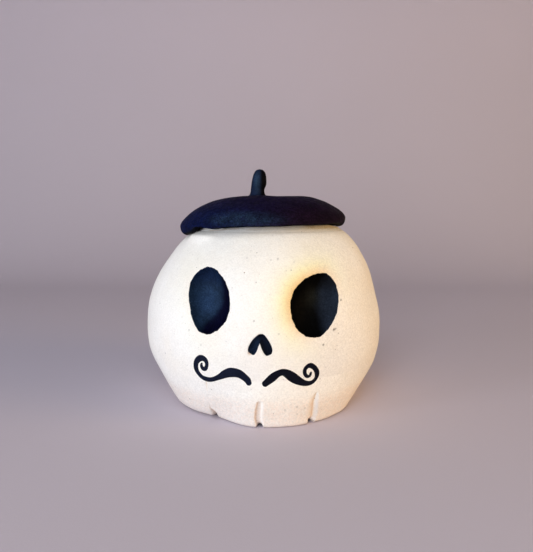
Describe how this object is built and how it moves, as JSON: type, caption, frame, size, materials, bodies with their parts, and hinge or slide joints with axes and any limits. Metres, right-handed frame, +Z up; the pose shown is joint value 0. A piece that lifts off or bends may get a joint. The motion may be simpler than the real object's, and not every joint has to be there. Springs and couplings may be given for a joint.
{
  "type": "ceramic skull jar",
  "caption": "Small lidded stoneware jar shaped as a round skull with hollow eyes, carved nose, painted curled moustache and a black beret as its lid.",
  "frame": {"origin": "middle of the flat foot, on the table", "axes": "+Z up; the face looks along -Y; +X is on the right of someone facing the skull"},
  "size_m": [0.1, 0.1, 0.0957],
  "materials": {
    "white_stoneware": "satin-matte fired white stoneware with sparse grey and tan specks",
    "black_slip": "matte blue-black underglaze with faint brush streaks",
    "black_clay": "matte blue-black coated clay, slightly grainy"
  },
  "bodies": {
    "skull": {"skull_body": "white_stoneware", "mouth_rim": "white_stoneware", "left_socket_slip": "black_slip", "right_socket_slip": "black_slip", "nose_slip": "black_slip", "left_moustache_slip": "black_slip", "right_moustache_slip": "black_slip"},
    "lid": {"beret_crown": "black_clay", "beret_stem": "black_clay", "locating_flange": "white_stoneware"}
  },
  "joints": [
    {"name": "lid_lift", "type": "slide", "parent": "skull", "child": "lid", "axis": [0, 0, 1], "range_m": [0, 0.06]}
  ]
}
